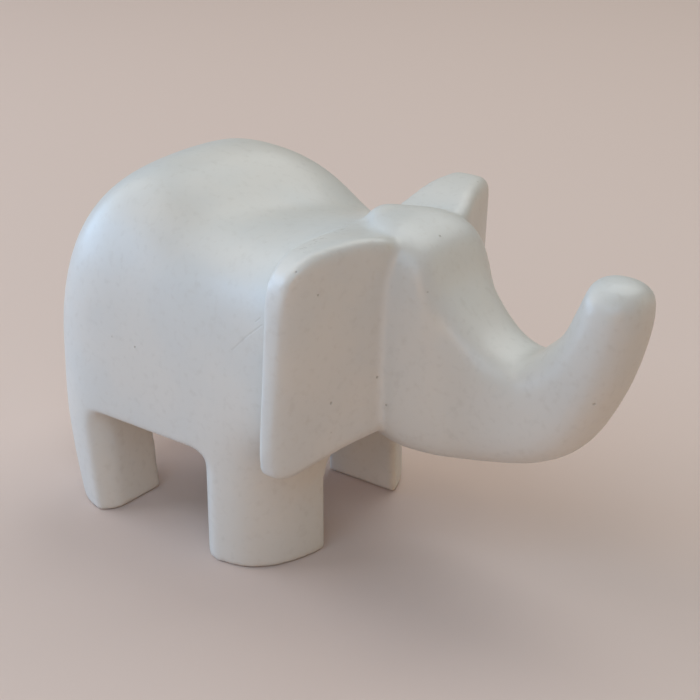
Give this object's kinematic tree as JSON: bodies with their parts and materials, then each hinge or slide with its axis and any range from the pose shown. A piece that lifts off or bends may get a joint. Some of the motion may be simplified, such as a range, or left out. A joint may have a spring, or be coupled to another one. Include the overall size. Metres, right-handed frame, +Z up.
{
  "type": "stone elephant figurine",
  "caption": "Stylised elephant figurine carved from one block of pale soapstone, with slab ears, four short legs and a raised trunk.",
  "frame": {"origin": "on the floor, under the middle of the figure's overall length and width", "axes": "+X from the rump towards the head and trunk, +Y towards the elephant's left side, +Z up"},
  "size_m": [0.1344, 0.0724, 0.0776],
  "materials": {
    "soapstone": "pale cream-grey natural soapstone with a satin waxed polish and a few dark specks"
  },
  "bodies": {
    "root": {"stone_elephant": "soapstone"}
  },
  "joints": []
}
